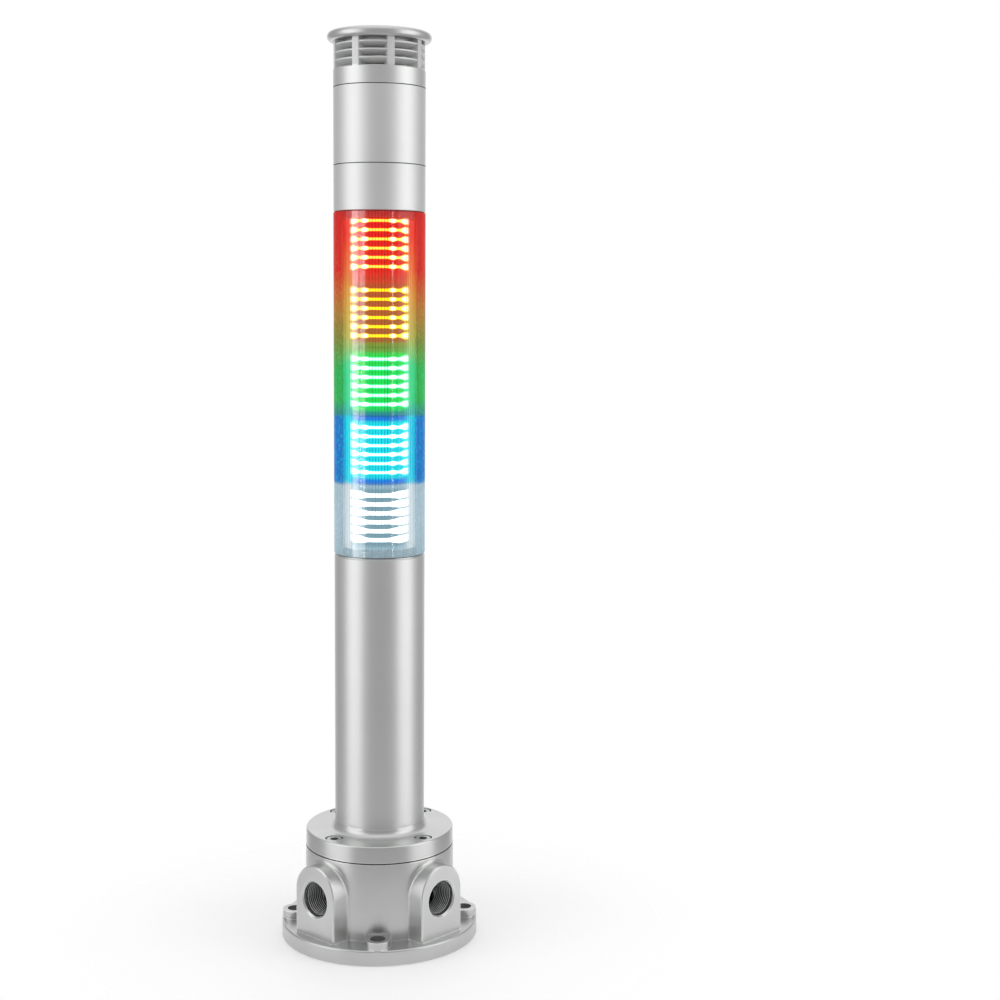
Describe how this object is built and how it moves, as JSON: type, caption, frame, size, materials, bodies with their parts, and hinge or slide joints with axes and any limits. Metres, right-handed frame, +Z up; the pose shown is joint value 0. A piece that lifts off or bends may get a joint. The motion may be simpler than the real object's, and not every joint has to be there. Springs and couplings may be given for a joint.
{
  "type": "stack light",
  "caption": "Signal tower with a fluted clear lens round coloured LED tiers, a louvred sounder head and a cast round conduit base with threaded side entries.",
  "frame": {"origin": "middle of the foot plate's underside, on the tower's axis", "axes": "+Z up along the tower; the two threaded entries face front left and front right, -Y is the front"},
  "size_m": [0.154, 0.154, 0.7013],
  "materials": {
    "base_alloy": "cast alloy in fine silver-grey paint",
    "column_alloy": "tube in smooth satin silver paint",
    "head_alloy": "cast alloy in satin silver paint",
    "lens_plastic": "clear moulded plastic, fluted inside",
    "sleeve_plastic": "clear prismatic plastic",
    "core_alloy": "plain extruded and turned alloy",
    "disc_plastic": "pale moulded plastic",
    "board_white": "white circuit board",
    "seal_rubber": "black sealing rubber",
    "steel": "stainless steel",
    "brass": "plain brass",
    "terminal_plastic": "grey moulded plastic",
    "sounder_plastic": "black moulded plastic",
    "plate_steel": "dark plated steel",
    "board_green": "green circuit board",
    "wire_sheath": "black wire sheath",
    "led_clear": "lit white LED",
    "led_blue": "lit blue LED",
    "led_green": "lit green LED",
    "led_amber": "lit amber LED",
    "led_red": "lit red LED"
  },
  "bodies": {
    "root": {"conduit_base": "base_alloy", "cover_flange": "base_alloy", "column_tube": "column_alloy", "upper_collar": "column_alloy", "sounder_tube": "column_alloy", "louver_head": "head_alloy", "top_cap": "head_alloy", "lens_tube": "lens_plastic", "tier_sleeve_clear": "sleeve_plastic", "tier_sleeve_blue": "sleeve_plastic", "tier_sleeve_green": "sleeve_plastic", "tier_sleeve_amber": "sleeve_plastic", "tier_sleeve_red": "sleeve_plastic", "led_core": "core_alloy", "lens_coupling": "core_alloy", "tier_disc_1": "disc_plastic", "tier_disc_2": "disc_plastic", "tier_disc_3": "disc_plastic", "tier_disc_4": "disc_plastic", "tier_disc_5": "disc_plastic", "tier_disc_6": "disc_plastic", "led_boards_clear": "board_white", "led_boards_blue": "board_white", "led_boards_green": "board_white", "led_boards_amber": "board_white", "led_boards_red": "board_white", "cover_gasket": "seal_rubber", "lower_lens_seal": "seal_rubber", "upper_lens_seal": "seal_rubber", "cover_screws": "steel", "tie_rod": "steel", "lower_nut": "steel", "upper_nut": "steel", "block_screws": "steel", "cap_screws": "steel", "sounder_plate_screws": "steel", "board_standoffs": "steel", "terminal_clamps": "brass", "earth_screw": "brass", "sounder_diaphragm": "brass", "terminal_block": "terminal_plastic", "sounder_driver": "sounder_plastic", "sounder_plate": "plate_steel", "sounder_board": "board_green", "wire_harness": "wire_sheath", "sounder_lead": "wire_sheath", "leds_clear": "led_clear", "leds_blue": "led_blue", "leds_green": "led_green", "leds_amber": "led_amber", "leds_red": "led_red"}
  },
  "joints": []
}
